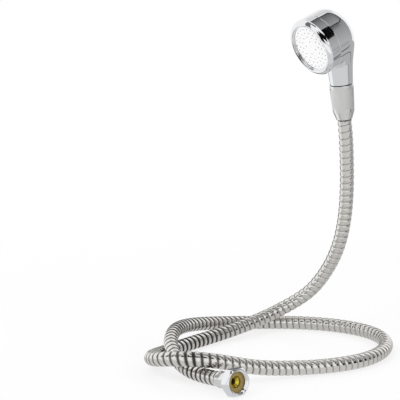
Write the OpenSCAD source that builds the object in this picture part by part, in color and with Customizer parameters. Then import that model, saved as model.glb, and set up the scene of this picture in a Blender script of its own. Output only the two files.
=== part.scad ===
// Handheld bath sprayer: chromed spray head, conical coupling nut, interlocked metal hose
// and hex inlet nut. Millimetres, +Z up. The origin is on the coupling nut's axis, at the
// height where a wall holder's cradle grips it. The lower hose lies on a level floor.

/* [Spray head] */
// Outside diameter of the drum
drum_d = 57; // [52:0.2:62]
// Wall of the rear housing
shell_wall = 2.4; // [1.8:0.1:3]
// Depth of the rounded back, behind the straight band
dome_depth = 19.5; // [15:0.5:21]
// Squareness of the rounded back: 2 is an ellipse
dome_power = 2.4; // [2:0.1:3]
// Band of the rear housing, between the rounded back and the seam
rear_band = 10.5; // [9:0.5:13]
// Narrowing of that band towards the back, on the radius
band_draft = 0.3; // [0.1:0.1:0.6]
// Straight band of the face ring
ring_band = 11; // [10:0.5:13]
// Height of the sloping bezel
bezel_h = 3.2; // [2.4:0.1:3.6]
// Swell of the bezel out of its straight slope
bezel_swell = 0.4; // [0.1:0.1:0.6]
// Diameter of the bezel's mouth
mouth_d = 48.4; // [46:0.2:49]
// Visible diameter of the spray plate
plate_view_d = 44; // [41:0.5:44.4]
// Depth of the spray plate below the bezel's lip
plate_sink = 2.4; // [1.8:0.1:2.8]
// Thickness of the spray plate
plate_t = 0.8; // [0.6:0.1:1]
// Diameter of one spray hole
hole_d = 1; // [0.7:0.1:1.2]
// Thickness of the gasket behind the spray plate
gasket_t = 1.2; // [0.8:0.1:1.6]
// Width of the gap that shows between housing and ring
seam_gap = 0.25; // [0.2:0.05:0.4]
// Angle of the drum below square to the neck
face_droop = 14; // [8:1:18]

/* [Neck] */
// Step in from the coupling nut's mouth to the neck, on the radius
neck_step = 0.5; // [0.3:0.1:0.8]
// Diameter of the neck where it meets the drum
neck_top_d = 27.4; // [26:0.2:29]
// Height of the drum's axis above the coupling nut
neck_h = 50.8; // [48:0.2:54]
// Diameter of the waterway in the neck
water_d = 13.2; // [11:0.2:14]
// Diameter of the counterbore that holds the strainer and limiter
neck_bore_d = 15.2; // [14.6:0.2:15.6]

/* [Coupling nut] */
// Wall of the coupling nut round its thread, at the mouth
nut_wall = 1.5; // [1.4:0.1:2.5]
// Narrowing of the coupling nut over its grip, on the radius
nut_taper = 1.4; // [0.7:0.1:1.5]
// Wall of the coupling nut at its lower rim
rim_wall = 0.6; // [0.5:0.05:1]
// Length of the tapered grip
nut_grip_h = 27.4; // [25:0.2:30]
// Length of the lower cone
nut_cone_h = 7.4; // [6:0.2:9]
// Height of the nut's mouth above the holder seat
seat_h = 16.4; // [15:0.2:18]

/* [G half inch thread] */
// Diameter of the female thread's blank
thread_female_d = 21; // [20.9:0.05:21.2]
// Play between the male and the female thread, on the diameter
thread_play = 0.4; // [0.2:0.05:0.6]
// Length of male thread inside the coupling nut
thread_h = 8; // [7:0.5:10]
// Thickness of a sealing washer
washer_t = 2; // [1.5:0.1:2.5]

/* [Hose] */
// Outside diameter of the metal hose
hose_d = 14; // [13:0.2:14]
// Depth of the groove between two ribs
rib_depth = 0.7; // [0.4:0.1:1]
// Number of ribs along the hose
rib_count = 184; // [120:1:200]
// Bore of the metal hose
jacket_bore_d = 11.8; // [11.6:0.1:12]
// Outside diameter of the inner tube
liner_d = 10.6; // [10:0.1:10.8]
// Bore of the inner tube
liner_bore_d = 9; // [8.6:0.1:9.2]
// Diameter of the insert's tail inside the inner tube
tail_d = 8.1; // [7.4:0.1:8.1]
// Bore through both inserts
insert_bore_d = 6; // [5:0.2:6.4]
// Outside diameter of the crimped ferrules
ferrule_d = 15.4; // [15.2:0.1:15.8]

/* [Inlet nut] */
// Wall of the hex inlet nut round its thread, in the middle of a flat
hex_wall = 1.5; // [1.4:0.1:2.5]
// Length of the hex inlet nut
hex_h = 9.8; // [9.6:0.2:18]
// Depth of the washer's face below the nut's open end
washer_depth = 4; // [3.4:0.1:4.2]
// Bore of the inlet washer
inlet_washer_bore = 11; // [9:0.5:12]

/* [Pose of the head] */
// Tip of the neck towards the front
head_tip = 8.5; // [0:0.5:15]
// Lean of the neck to the left
head_lean = 6.5; // [0:0.5:12]
// Turn of the face from the front towards the left
head_turn = 52; // [0:1:90]

/* [Hidden] */
$fn = 96;

// Clearance between parts that turn on or slide in each other
run_gap = 0.3;
// Clearance between parts that lie still in each other
fit_gap = 0.1;
// Clearance between flat faces of parts that turn on each other
face_gap = 0.05;
// Overlap that joins or cuts shapes cleanly
eps = 0.01;

// ---- Places along the drum's axis, from where it crosses the neck's axis ----
plate_z = 34.4;
lip_z = plate_z + plate_sink;
bezel_z = lip_z - bezel_h;
seam_z = bezel_z - ring_band;
dome_z = seam_z - rear_band;
drum_r = drum_d / 2;
dome_r = drum_r - band_draft;
// The fairing between the drum and the neck: how far its foot is below the drum's axis
fairing_drop = drum_r;
fairing_d = neck_top_d + 0.2;
lip_w = 0.8;
// The bezel's middle, out of the straight slope
bezel_mid_r = (drum_r + mouth_d / 2 + lip_w + bezel_swell) / 2;
bezel_mid_z = (bezel_z + lip_z + bezel_swell) / 2;
// The stepped wall inside the bezel's mouth
step_w = (mouth_d - plate_view_d) / 6;
step_h = plate_sink / 4;
// The male spigot of the housing, under the face ring
ring_bore_r = drum_r - 2.2;
spigot_r = ring_bore_r - run_gap;
spigot_wall = 3.1;
spigot_bore_r = spigot_r - spigot_wall;
plate_back_z = plate_z - plate_t;
gasket_back_z = plate_back_z - gasket_t;
spigot_end_z = gasket_back_z - fit_gap;
plate_r = spigot_r - 0.6;
gasket_w = 3;
pocket_z = spigot_end_z + fit_gap / 2;
shelf_z = seam_z - 0.5;
shelf_t = 2;
// The O-ring in its groove near the spigot's foot
o_ring_t = 1.8;
o_groove_w = 2.2;
o_groove_z = seam_z + 2.6;
o_ring_r = ring_bore_r - fit_gap - o_ring_t / 2;
// The spreader disc and what holds it
spreader_t = 2;
spreader_boss_d = 6.4;
screw_d = 3;
screw_head_d = 5.6;
screw_head_h = 1.7;
screw_l = 9;
post_d = 2.4;
post_ring_r = 8.8;
// Rings of spray holes: [how many, radius of the ring, angle of the first]
HOLE_RINGS = [[24, 19.3, -4], [18, 15.3, 1], [12, 11.3, 6], [4, 6.4, -10]];
// Rings of spreader holes: [how many, radius of the ring]
SPREADER_RINGS = [[12, 17], [8, 12.4], [5, 6]];
spreader_hole_d = 2.6;

// ---- Widths that follow from the thread ----
thread_male_d = thread_female_d - thread_play;
nut_mouth_d = thread_female_d + 2 * nut_wall;
nut_waist_d = nut_mouth_d - 2 * nut_taper;
neck_d = nut_mouth_d - 2 * neck_step;
hex_af = thread_female_d + 2 * hex_wall;
// Flange of both hose inserts, which the nuts draw against their washers
flange_inset = 0.9;
flange_d = thread_female_d - 2 * flange_inset;

// ---- Places along the neck's axis, from the holder seat ----
mouth_z = seat_h;
neck_gap = 0.6;
neck_z = mouth_z + neck_gap;
drum_axis_z = mouth_z + neck_h;
neck_flare_l = 24.2;
neck_shoulder_z = neck_z + neck_flare_l;
neck_crown_h = 18;
neck_crown_z = neck_shoulder_z + neck_crown_h;
spigot_foot_z = mouth_z - thread_h;
washer_z = spigot_foot_z - fit_gap - washer_t;
flange_t = 1.8;
flange_z = washer_z - fit_gap / 2 - flange_t;
bush_t = 2;
bush_z = flange_z - face_gap - bush_t;
rim_z = mouth_z - nut_grip_h - nut_cone_h;
rim_bore_d = hose_d + 2 * run_gap + fit_gap;
nut_rim_d = rim_bore_d + 2 * rim_wall;
waist_z = mouth_z - nut_grip_h;
limiter_t = 4;
limiter_z = neck_z + 4;
limiter_seat_z = limiter_z + limiter_t + fit_gap;
strainer_rim_h = 1.2;
strainer_h = 9;

// ---- Inserts and ferrules: both hose ends are alike ----
insert_neck_d = 12.6;
ferrule_web_t = 1.2;
ferrule_skirt_bore = hose_d + 0.3;
ferrule_cup_bore = insert_neck_d + 0.2;
tail_l = 22;
barb_pitch = 4;
// Upper end, along the neck's axis
upper_web_z = -6;
upper_jacket_z = upper_web_z - ferrule_web_t;
upper_skirt_z = rim_z + 3;
// Lower end, along the inlet's axis, from the nut's open face
inlet_flange_z = -washer_depth - washer_t - fit_gap;
inlet_shoulder_z = inlet_flange_z - flange_t - face_gap;
ferrule_top_z = -hex_h - 0.4;
lower_web_z = ferrule_top_z - 1.6;
lower_jacket_z = lower_web_z - ferrule_web_t;
ferrule_skirt_l = 13;
hex_bore_d = insert_neck_d + 2 * run_gap;
relief_d = thread_female_d + 0.8;

// ---- The inlet end, on the floor ----
floor_z = -248;
inlet_turn = 42;
inlet_rise = 6.3;
// The nut's inner end lies on the floor, so its open face is half a nut and a little rise above it
inlet_h = hex_af / 2 * cos(inlet_rise) + hex_h * sin(inlet_rise) + fit_gap;
inlet_at = [-96, -174, floor_z + inlet_h];

// ---- Route of the hose ----
// Points that pull the hose along its way, from below the coupling nut to the inlet
ROUTE = [
    [5, 9, -47], [7, 17, -85], [6, 29, -124], [0, 42, -157], [-11, 53, -182],
    [-24, 61, -202], [-38, 65, -214], [-56, 63, -224], [-74, 52, -231], [-97, 35, -237],
    [-123, 12, -241], [-148, -20, -241], [-170, -54, -241], [-183, -88, -237],
    [-177, -118, -231], [-154, -138, -224], [-121, -140, -224], [-87, -126, -235],
    [-54, -110, -240], [-17, -98, -241], [20, -77, -241], [44, -40, -241], [49, 5, -241],
    [30, 44, -241], [-10, 66, -241], [-50, 71, -241], [-85, 68, -241], [-114, 49, -237],
    [-139, 21, -231], [-157, -9, -226], [-165, -41, -224], [-165, -73, -229],
    [-156, -101, -237], [-142, -122, -241]];
// Spacing of the points that keep each end of the hose straight
end_step = 14;
tube_sides = 8;
// Rings of the bore and the inner tube: one for every so many ribs
bore_skip = 3;
curve_steps = 16;

// ======================= frames =======================

function turn_x(a) = [[1, 0, 0], [0, cos(a), -sin(a)], [0, sin(a), cos(a)]];
function turn_y(a) = [[cos(a), 0, sin(a)], [0, 1, 0], [-sin(a), 0, cos(a)]];
function turn_z(a) = [[cos(a), -sin(a), 0], [sin(a), cos(a), 0], [0, 0, 1]];

// Directions in the row frame of the neck's axis and of the inlet's axis
neck_axis = turn_y(-head_lean) * turn_x(head_tip) * [0, 0, 1];
inlet_axis = turn_z(inlet_turn) * turn_x(90 - inlet_rise) * [0, 0, 1];

// Stands its children on the neck's axis, with the origin at the holder seat
module on_neck() {
    rotate([head_tip, -head_lean, 0]) children();
}

// Turns its children's +Z to the face's direction, with the origin on the drum's axis
module on_drum() {
    on_neck()
        rotate([0, 0, -head_turn])
            translate([0, 0, drum_axis_z])
                rotate([90 + face_droop, 0, 0]) children();
}

// Turns its children's +Z out of the inlet, with the origin in the nut's open face
module on_inlet() {
    translate(inlet_at) rotate([90 - inlet_rise, 0, inlet_turn]) children();
}

// ======================= shared shapes =======================

module ring(outer_d, inner_d, h) {
    difference() {
        cylinder(d = outer_d, h = h);
        translate([0, 0, -1]) cylinder(d = inner_d, h = h + 2);
    }
}

// Outline of the rounded back, from the band's corner to the axis
function dome_points(r, depth, z0, steps = 14) = [
    for (i = [0 : steps])
        let (a = 90 * i / steps)
            [r * pow(cos(a), 2 / dome_power), z0 - depth * pow(sin(a), 2 / dome_power)]];

// Outline of the neck: a flare that grows towards the drum, then a round crown inside it
function neck_points(steps = 8) = concat(
    [for (i = [0 : steps])
        let (t = i / steps)
            [neck_d / 2 + (neck_top_d - neck_d) / 2 * pow(t, 1.3),
             neck_z + (neck_shoulder_z - neck_z) * t]],
    [for (i = [1 : steps])
        let (a = 90 * i / steps)
            [neck_top_d / 2 * cos(a), neck_shoulder_z + (neck_crown_z - neck_shoulder_z) * sin(a)]]);

// A row of round holes on a ring
module hole_ring(count, radius, d, z0, z1, turn = 0) {
    for (i = [0 : count - 1])
        rotate([0, 0, turn + 360 * i / count])
            translate([radius, 0, z0])
                cylinder(d = d, h = z1 - z0, $fn = 16);
}

// ======================= spray head =======================

module housing_outside() {
    on_drum() translate([0, 0, dome_z]) cylinder(r1 = dome_r, r2 = drum_r, h = seam_z - dome_z);
    on_drum()
        hull() {
            rotate_extrude($fn = 48)
                polygon(concat([[0, dome_z + 1], [dome_r, dome_z + 1]],
                               dome_points(dome_r, dome_depth, dome_z, 10)));
            // Foot of the fairing that runs down to the neck
            translate([0, -fairing_drop, fairing_drop * tan(face_droop)])
                rotate([90, 0, 0]) cylinder(d = fairing_d, h = 0.2, $fn = 48);
        }
    on_drum() translate([0, 0, shelf_z]) cylinder(r = spigot_r, h = spigot_end_z - shelf_z);
    on_neck()
        rotate_extrude()
            polygon(concat([[0, neck_crown_z], [0, neck_z], [neck_d / 2 - 0.5, neck_z],
                            [neck_d / 2, neck_z + 0.5]], [for (p = neck_points()) if (p.y > neck_z + 1) p]));
    on_neck() translate([0, 0, spigot_foot_z]) {
        translate([0, 0, 0.8]) cylinder(d = thread_male_d, h = neck_z - spigot_foot_z);
        cylinder(d1 = thread_male_d - 1.6, d2 = thread_male_d, h = 0.8 + eps);
    }
}

module housing_inside() {
    // Chamber behind the spreader
    on_drum()
        rotate_extrude()
            polygon(concat([[0, shelf_z - shelf_t], [drum_r - shell_wall, shelf_z - shelf_t]],
                           dome_points(drum_r - shell_wall, dome_depth - shell_wall, dome_z)));
    // Mouth of the spigot, with the shelf that carries the spreader
    on_drum() translate([0, 0, shelf_z]) cylinder(r = spigot_bore_r, h = spigot_end_z);
    on_drum() translate([0, 0, shelf_z - shelf_t - 1]) cylinder(r = spigot_bore_r - 1.6, h = shelf_t + 2);
    // Groove for the O-ring
    on_drum()
        translate([0, 0, o_groove_z - o_groove_w / 2])
            ring(2 * spigot_r + 2, 2 * (o_ring_r - o_ring_t / 2 - 0.05), o_groove_w);
    // Waterway, with the seats of the strainer and the limiter
    on_neck() translate([0, 0, spigot_foot_z - 1]) cylinder(d = water_d, h = drum_axis_z - spigot_foot_z);
    on_neck() translate([0, 0, spigot_foot_z - 1]) cylinder(d = neck_bore_d, h = limiter_seat_z - spigot_foot_z + 1);
    on_neck()
        translate([0, 0, spigot_foot_z - 1])
            cylinder(d = neck_bore_d + 2, h = strainer_rim_h + fit_gap + 1);
}

module rear_housing() {
    color([0.85, 0.86, 0.88]) {
        difference() {
            union() {
                difference() {
                    housing_outside();
                    housing_inside();
                }
                // Boss that the spreader is screwed to
                on_drum()
                    translate([0, 0, dome_z - dome_depth + shell_wall / 2])
                        cylinder(d = spreader_boss_d, h = shelf_z - dome_z + dome_depth - shell_wall / 2);
            }
            on_drum()
                translate([0, 0, shelf_z + spreader_t - screw_l - 1])
                    cylinder(d = screw_d + 2 * fit_gap, h = screw_l, $fn = 32);
        }
    }
}

module face_ring() {
    color([0.85, 0.86, 0.88])
        on_drum()
            rotate_extrude()
                polygon([
                    [drum_r, seam_z + seam_gap],
                    [drum_r, bezel_z],
                    [bezel_mid_r, bezel_mid_z],
                    [mouth_d / 2 + lip_w, lip_z],
                    [mouth_d / 2, lip_z],
                    [mouth_d / 2, lip_z - step_h],
                    [mouth_d / 2 - step_w, lip_z - step_h],
                    [mouth_d / 2 - step_w, lip_z - 2 * step_h],
                    [mouth_d / 2 - 2 * step_w, lip_z - 2 * step_h],
                    [mouth_d / 2 - 2 * step_w, lip_z - 3 * step_h],
                    [plate_view_d / 2, lip_z - 3 * step_h],
                    [plate_view_d / 2, plate_z + fit_gap / 2],
                    [plate_r + run_gap, plate_z + fit_gap / 2],
                    [plate_r + run_gap, pocket_z],
                    [ring_bore_r, pocket_z],
                    [ring_bore_r, seam_z + seam_gap]]);
}

module spray_plate() {
    color([0.80, 0.81, 0.81])
        on_drum()
            difference() {
                translate([0, 0, plate_back_z]) cylinder(r = plate_r, h = plate_t);
                for (ring_of = HOLE_RINGS)
                    hole_ring(ring_of[0], ring_of[1], hole_d, plate_back_z - 1, plate_z + 1, ring_of[2]);
            }
}

module plate_gasket() {
    color([0.12, 0.12, 0.12])
        on_drum()
            translate([0, 0, gasket_back_z])
                ring(2 * plate_r, 2 * (plate_r - gasket_w), gasket_t - fit_gap / 2);
}

module water_spreader() {
    color([0.90, 0.90, 0.88])
        on_drum()
            difference() {
                union() {
                    translate([0, 0, shelf_z]) cylinder(r = spigot_bore_r - fit_gap, h = spreader_t);
                    // Posts that keep the thin plate flat
                    for (i = [0 : 3])
                        rotate([0, 0, 45 + 90 * i])
                            translate([post_ring_r, 0, shelf_z])
                                cylinder(d = post_d, h = plate_back_z - shelf_z - run_gap, $fn = 24);
                }
                for (ring_of = SPREADER_RINGS)
                    hole_ring(ring_of[0], ring_of[1], spreader_hole_d, shelf_z - 1, shelf_z + spreader_t + 1);
                translate([0, 0, shelf_z - 1])
                    cylinder(d = screw_d + 2 * fit_gap, h = spreader_t + 2, $fn = 32);
            }
}

module spreader_screw() {
    color([0.70, 0.70, 0.70])
        on_drum() {
            translate([0, 0, shelf_z + spreader_t]) {
                difference() {
                    cylinder(d = screw_head_d, h = screw_head_h);
                    // Cross recess
                    for (a = [0, 90])
                        rotate([0, 0, a])
                            translate([-1.5, -0.35, screw_head_h - 0.8])
                                cube([3, 0.7, 1]);
                }
                translate([0, 0, -screw_l + 1.5]) cylinder(d = screw_d, h = screw_l - 1.5 + eps, $fn = 32);
            }
        }
}

module housing_o_ring() {
    color([0.10, 0.10, 0.10])
        on_drum()
            translate([0, 0, o_groove_z])
                rotate_extrude()
                    translate([o_ring_r, 0]) circle(d = o_ring_t, $fn = 32);
}

module flow_limiter() {
    color([0.35, 0.55, 0.35])
        on_neck()
            translate([0, 0, limiter_z])
                difference() {
                    cylinder(d = neck_bore_d - 2 * fit_gap, h = limiter_t);
                    translate([0, 0, -1]) cylinder(d = 3.4, h = limiter_t + 2, $fn = 32);
                    translate([0, 0, -1]) cylinder(d = 9, h = 2.4);
                    hole_ring(6, 5.6, 1.8, -1, limiter_t + 1);
                }
}

module inlet_strainer() {
    color([0.92, 0.92, 0.90])
        on_neck()
            translate([0, 0, spigot_foot_z])
                difference() {
                    union() {
                        cylinder(d = neck_bore_d + 2 - 2 * fit_gap, h = strainer_rim_h);
                        cylinder(d1 = neck_bore_d - 1.2, d2 = neck_bore_d - 3.2, h = strainer_h);
                    }
                    translate([0, 0, -1])
                        cylinder(d1 = neck_bore_d - 2.6, d2 = neck_bore_d - 4.6, h = strainer_h);
                    // Windows in the basket's wall and end
                    for (i = [0 : 7])
                        rotate([0, 0, 45 * i])
                            translate([0, -1, strainer_rim_h + 1])
                                cube([neck_bore_d, 2, strainer_h - strainer_rim_h - 3]);
                    hole_ring(6, 3.4, 1.6, strainer_h - 2, strainer_h + 1);
                    translate([0, 0, strainer_h - 2]) cylinder(d = 1.8, h = 3, $fn = 24);
                }
}

// ======================= coupling nut =======================

module coupling_nut() {
    bore_foot_z = bush_z - face_gap;
    color([0.80, 0.80, 0.78])
        on_neck()
            difference() {
                rotate_extrude()
                    polygon([
                        [0, rim_z],
                        [nut_rim_d / 2 - 0.2, rim_z],
                        [nut_rim_d / 2, rim_z + 0.3],
                        [nut_waist_d / 2 - 0.6, waist_z - 0.6],
                        [nut_waist_d / 2, waist_z + 0.6],
                        [nut_mouth_d / 2 - 0.35, mouth_z - 2.6],
                        [nut_mouth_d / 2, mouth_z - 2.2],
                        [nut_mouth_d / 2, mouth_z - 0.4],
                        [nut_mouth_d / 2 - 0.4, mouth_z],
                        [0, mouth_z]]);
                translate([0, 0, spigot_foot_z - run_gap])
                    cylinder(d = thread_female_d, h = thread_h + 1);
                translate([0, 0, bore_foot_z]) cylinder(d = flange_d + 2 * run_gap, h = thread_h);
                translate([0, 0, upper_skirt_z - run_gap])
                    cylinder(d = ferrule_d + 2 * run_gap, h = bore_foot_z - upper_skirt_z + 1);
                translate([0, 0, rim_z - 1]) cylinder(d = rim_bore_d, h = 5);
            }
}

module coupling_washer() {
    color([0.15, 0.15, 0.15])
        on_neck() translate([0, 0, washer_z]) ring(flange_d - 0.4, inlet_washer_bore, washer_t);
}

module swivel_bush() {
    color([0.93, 0.93, 0.90])
        on_neck()
            translate([0, 0, bush_z])
                ring(flange_d, insert_neck_d + 2 * run_gap, bush_t);
}

// ======================= hose ends =======================

// A turned insert: flange, neck and barbed tail. Its +Z leaves the hose
module hose_insert(flange_foot, web, funnel_d) {
    color([0.78, 0.66, 0.28])
        difference() {
            union() {
                translate([0, 0, flange_foot]) cylinder(d = flange_d, h = flange_t);
                translate([0, 0, web]) cylinder(d = insert_neck_d, h = flange_foot - web + eps);
                translate([0, 0, web - tail_l]) cylinder(d = tail_d - 0.4, h = tail_l + eps);
                // Barbs that grip the inner tube, pointing back up the tube
                for (i = [1 : 4])
                    translate([0, 0, web - tail_l + barb_pitch * i])
                        mirror([0, 0, 1]) cylinder(d1 = tail_d, d2 = tail_d - 0.8, h = 2.4);
            }
            translate([0, 0, web - tail_l - 1])
                cylinder(d = insert_bore_d, h = flange_foot + flange_t - web + tail_l + 2);
            translate([0, 0, flange_foot + flange_t - (funnel_d - insert_bore_d) / 2])
                cylinder(d1 = insert_bore_d, d2 = funnel_d + 0.02, h = (funnel_d - insert_bore_d) / 2 + eps);
        }
}

// A crimped sleeve: a cup round the insert's neck, a web, and a skirt round the hose
module hose_ferrule(top, web, skirt_foot) {
    color([0.86, 0.86, 0.86])
        difference() {
            translate([0, 0, skirt_foot]) cylinder(d = ferrule_d, h = top - skirt_foot);
            translate([0, 0, web]) cylinder(d = ferrule_cup_bore, h = top - web + 1);
            translate([0, 0, skirt_foot - 1])
                cylinder(d = ferrule_skirt_bore, h = web - ferrule_web_t - skirt_foot + 1);
            translate([0, 0, web - ferrule_web_t - 1]) cylinder(d = tail_d + 0.2, h = ferrule_web_t + 2);
        }
}

module upper_insert() {
    on_neck() hose_insert(flange_z, upper_web_z, 9);
}

module upper_ferrule() {
    on_neck() hose_ferrule(bush_z - 1, upper_web_z, upper_skirt_z);
}

module lower_insert() {
    on_inlet() hose_insert(inlet_flange_z - flange_t, lower_web_z, inlet_washer_bore - 0.4);
}

module lower_ferrule() {
    on_inlet() hose_ferrule(ferrule_top_z, lower_web_z, lower_jacket_z - ferrule_skirt_l);
}

module inlet_washer() {
    color([0.65, 0.57, 0.37])
        on_inlet()
            translate([0, 0, -washer_depth - washer_t])
                ring(thread_female_d - 2 * run_gap, inlet_washer_bore, washer_t);
}

module inlet_nut() {
    corner_d = hex_af / cos(30);
    color([0.85, 0.86, 0.90])
        on_inlet()
            difference() {
                intersection() {
                    translate([0, 0, -hex_h]) cylinder(d = corner_d, h = hex_h, $fn = 6);
                    // Turned chamfers on the hexagon's corners
                    rotate_extrude()
                        polygon([
                            [0, -hex_h],
                            [hex_af / 2 - 0.3, -hex_h],
                            [corner_d / 2 + 0.1, -hex_h + 1.8],
                            [corner_d / 2 + 0.1, -1.8],
                            [hex_af / 2 - 0.3, 0],
                            [0, 0]]);
                }
                translate([0, 0, -washer_depth + 0.2]) cylinder(d = thread_female_d, h = washer_depth + 1);
                translate([0, 0, -0.8]) cylinder(d1 = thread_female_d, d2 = thread_female_d + 1.6, h = 0.8 + eps);
                translate([0, 0, inlet_shoulder_z])
                    cylinder(d = relief_d, h = -washer_depth + 0.2 - inlet_shoulder_z + eps);
                translate([0, 0, -hex_h - 1]) cylinder(d = hex_bore_d, h = hex_h);
            }
}

// ======================= hose =======================

// The hose's first and last points, where it meets the ferrules
hose_start = neck_axis * upper_jacket_z;
hose_end = inlet_at + inlet_axis * lower_jacket_z;
controls = concat(
    [for (i = [0 : 2]) hose_start - neck_axis * end_step * i],
    ROUTE,
    [for (i = [2 : -1 : 0]) hose_end - inlet_axis * end_step * i]);
guides = concat([2 * controls[0] - controls[1]], controls,
                [2 * controls[len(controls) - 1] - controls[len(controls) - 2]]);

// A smooth curve that the guide points pull along, one span for every two points
function span_at(a, b, c, d, t) =
    (a * pow(1 - t, 3) + b * (3 * pow(t, 3) - 6 * t * t + 4)
     + c * (-3 * pow(t, 3) + 3 * t * t + 3 * t + 1) + d * pow(t, 3)) / 6;
curve = concat(
    [for (i = [0 : len(guides) - 4])
        for (k = [0 : curve_steps - 1])
            span_at(guides[i], guides[i + 1], guides[i + 2], guides[i + 3], k / curve_steps)],
    [hose_end]);

// Distance along the curve at each of its points
function running(points, i, sum, out) =
    i == len(points) ? out
    : let (s = sum + norm(points[i] - points[i - 1])) running(points, i + 1, s, concat(out, [s]));
travel = running(curve, 1, 0, [0]);
hose_length = travel[len(travel) - 1];
rib_pitch = hose_length / rib_count;

// Index of the curve's last point that is not past a distance, by halving
function before(s, lo, hi) =
    hi - lo <= 1 ? lo
    : let (mid = floor((lo + hi) / 2)) travel[mid] <= s ? before(s, mid, hi) : before(s, lo, mid);
function point_at(s) =
    let (i = min(before(s, 0, len(travel)), len(travel) - 2),
         t = (s - travel[i]) / (travel[i + 1] - travel[i]))
    curve[i] * (1 - t) + curve[i + 1] * t;
function unit(v) = v / norm(v);
function heading_at(s) =
    s < 2 ? -neck_axis
    : s > hose_length - 2 ? inlet_axis
    : unit(point_at(s + 1) - point_at(s - 1));

// Carries a sideways direction along the hose, so that its rings never twist
function carried(stops, i, side, out) =
    i == len(stops) ? out
    : let (h = heading_at(stops[i]), s = unit(side - h * (side * h)))
        carried(stops, i + 1, s, concat(out, [s]));

// Ring of points round the hose: where it is, its heading, a side direction and a radius
function ring_points(s, side, r) =
    let (c = point_at(s), h = heading_at(s), up = cross(h, side))
    [for (k = [0 : tube_sides - 1])
        let (a = 360 * (k + 0.5) / tube_sides) c + r * (cos(a) * side + sin(a) * up)];

// Triangles between neighbouring rings, wound outwards, or inwards for a bore
function skin(first, rings, flip) = [
    for (i = [0 : rings - 2])
        for (k = [0 : tube_sides - 1])
            let (a = first + i * tube_sides + k,
                 b = first + i * tube_sides + (k + 1) % tube_sides,
                 c = a + tube_sides,
                 d = b + tube_sides)
                each flip ? [[a, d, b], [a, c, d]] : [[a, b, d], [a, d, c]]];
// Triangles between an outer and an inner ring at an end
function rim(outer, inner, flip) = [
    for (k = [0 : tube_sides - 1])
        let (n = (k + 1) % tube_sides)
            each flip ? [[outer + k, inner + n, outer + n], [outer + k, inner + k, inner + n]]
                      : [[outer + k, outer + n, inner + n], [outer + k, inner + n, inner + k]]];

// A closed hollow tube: outer rings [distance, radius] and inner rings [distance, radius]
module hollow_tube(outer, inner) {
    side = unit(cross(neck_axis, [1, 0, 0]));
    outer_sides = carried([for (o = outer) o[0]], 0, side, []);
    inner_sides = carried([for (o = inner) o[0]], 0, side, []);
    points = concat(
        [for (i = [0 : len(outer) - 1]) each ring_points(outer[i][0], outer_sides[i], outer[i][1])],
        [for (i = [0 : len(inner) - 1]) each ring_points(inner[i][0], inner_sides[i], inner[i][1])]);
    bore_first = len(outer) * tube_sides;
    faces = concat(
        skin(0, len(outer), false),
        skin(bore_first, len(inner), true),
        rim(0, bore_first, true),
        rim(bore_first - tube_sides, len(points) - tube_sides, false));
    polyhedron(points, [for (f = faces) [f[2], f[1], f[0]]], convexity = 8);
}

// Distances of the bore's rings, which the inner tube shares
function bore_stops() = concat([for (i = [0 : bore_skip : rib_count - 2]) i * rib_pitch], [hose_length]);

module hose_jacket() {
    crest = hose_d / 2;
    groove = crest - rib_depth;
    // Each rib falls slowly from its crest and steps up at the next one
    outer = [for (i = [0 : rib_count - 1])
        each [[(i + (i == 0 ? 0 : 0.1)) * rib_pitch, crest],
              [(i + (i == rib_count - 1 ? 1 : 0.9)) * rib_pitch, i == rib_count - 1 ? crest : groove]]];
    color([0.72, 0.70, 0.67])
        hollow_tube(outer, [for (s = bore_stops()) [s, jacket_bore_d / 2]]);
}

module hose_liner() {
    color([0.85, 0.85, 0.82])
        hollow_tube([for (s = bore_stops()) [s, liner_d / 2]],
                    [for (s = bore_stops()) [s, liner_bore_d / 2]]);
}

// Length of the hose, its lowest centre point and the least gap between its own strands
strand_step = 12;
strands = [for (s = [0 : strand_step : hose_length]) point_at(s)];
least_gap = min([for (i = [0 : len(strands) - 1])
    for (j = [i + 5 : 1 : len(strands) - 1]) norm(strands[i] - strands[j])]) - hose_d;
echo(hose_length = hose_length, rib_pitch = rib_pitch, least_gap = least_gap);

// ======================= assembly =======================

rear_housing();
face_ring();
spray_plate();
plate_gasket();
water_spreader();
spreader_screw();
housing_o_ring();
flow_limiter();
inlet_strainer();
coupling_nut();
coupling_washer();
swivel_bush();
upper_insert();
upper_ferrule();
hose_jacket();
hose_liner();
lower_ferrule();
lower_insert();
inlet_washer();
inlet_nut();
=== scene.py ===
"""Looks of a handheld bath sprayer: chromed head, knurled coupling nut, wound metal hose, hex inlet nut.

Shapes are worked out in millimetres about their own axes, then placed in the row's frame in metres.
"""

from __future__ import annotations

import logging
from dataclasses import dataclass, field
from enum import Enum
from math import atan2, cos, hypot, pi, radians, sin, tan, tau
from typing import Iterable, Sequence

import bmesh
import bpy
import numpy as np
from mathutils import Matrix, Vector


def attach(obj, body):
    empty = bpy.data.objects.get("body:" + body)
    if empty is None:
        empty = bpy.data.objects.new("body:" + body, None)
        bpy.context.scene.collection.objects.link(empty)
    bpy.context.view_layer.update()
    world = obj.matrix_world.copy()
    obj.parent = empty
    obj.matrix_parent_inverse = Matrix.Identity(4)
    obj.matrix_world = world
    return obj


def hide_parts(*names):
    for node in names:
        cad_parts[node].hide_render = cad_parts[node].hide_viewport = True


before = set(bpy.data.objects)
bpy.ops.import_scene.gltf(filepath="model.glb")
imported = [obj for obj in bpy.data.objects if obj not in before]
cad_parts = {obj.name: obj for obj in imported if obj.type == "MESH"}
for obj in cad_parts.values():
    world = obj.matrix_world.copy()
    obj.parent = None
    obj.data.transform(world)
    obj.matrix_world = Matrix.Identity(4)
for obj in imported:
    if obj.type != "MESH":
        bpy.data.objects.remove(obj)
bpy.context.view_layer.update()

log = logging.getLogger("bath_sprayer")

MM = 0.001
FLOOR_Z = -248.0

# The clearance that scene pieces keep from the solids they would touch
PLAY = 0.05

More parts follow.
